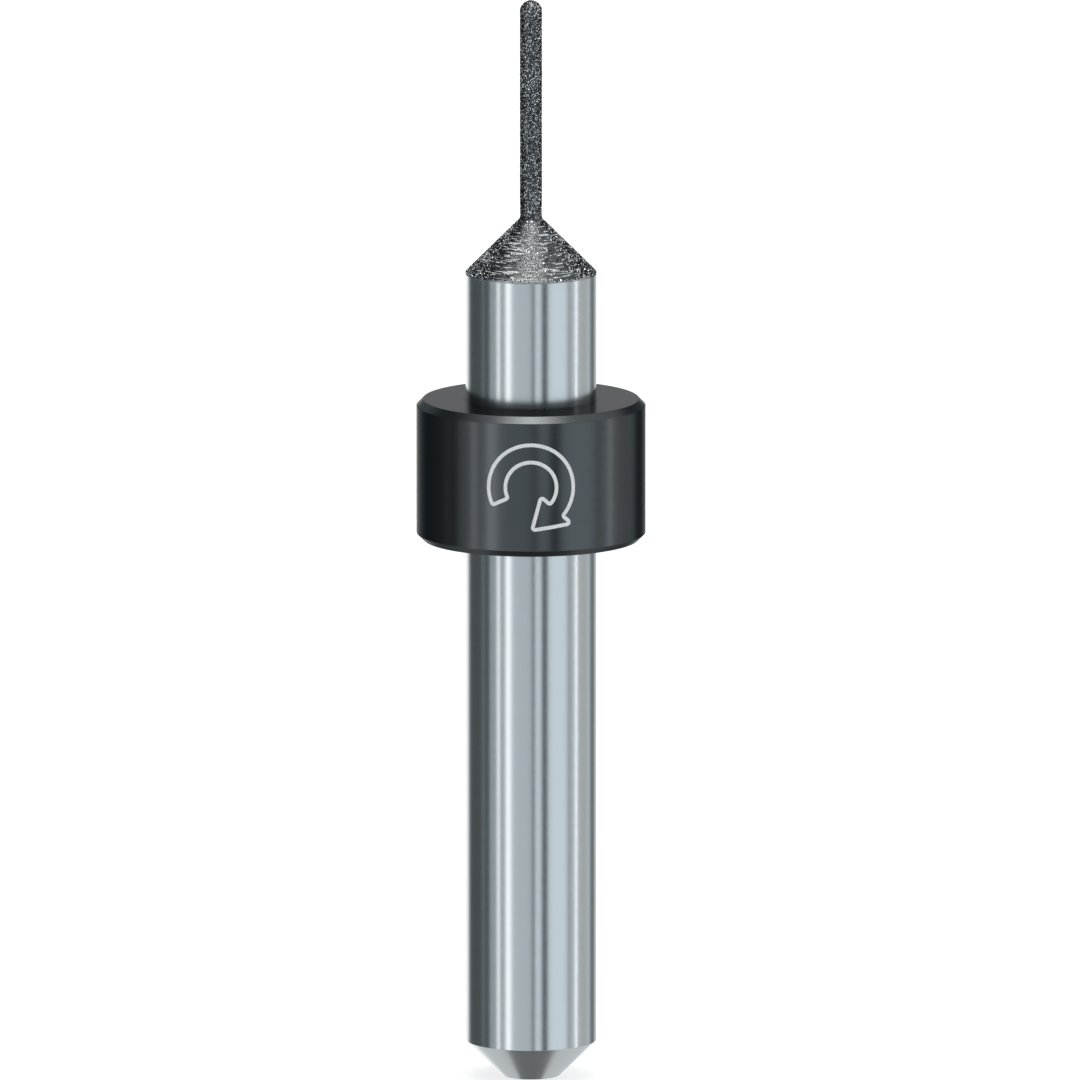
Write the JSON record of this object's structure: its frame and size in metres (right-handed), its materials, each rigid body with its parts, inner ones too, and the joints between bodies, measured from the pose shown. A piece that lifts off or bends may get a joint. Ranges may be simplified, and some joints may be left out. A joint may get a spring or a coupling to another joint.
{
  "type": "diamond burr",
  "caption": "Grinding burr with a slim diamond-coated needle on a coated cone, a plain cylindrical shank and a black stop ring.",
  "frame": {"origin": "centre of the flat end face of the shank, on the tool's axis", "axes": "+Z along the tool's axis from the shank's end to the needle's tip; X and Y are across it"},
  "size_m": [0.0104, 0.0104, 0.05],
  "materials": {
    "ground_steel": "finely ground, nearly mirror bright",
    "diamond_plating": "dark nickel plating studded with bright diamond grit",
    "black_anodised": "satin black anodising"
  },
  "bodies": {
    "root": {"shank": "ground_steel", "diamond_coat": "diamond_plating", "stop_ring": "black_anodised"}
  },
  "joints": []
}
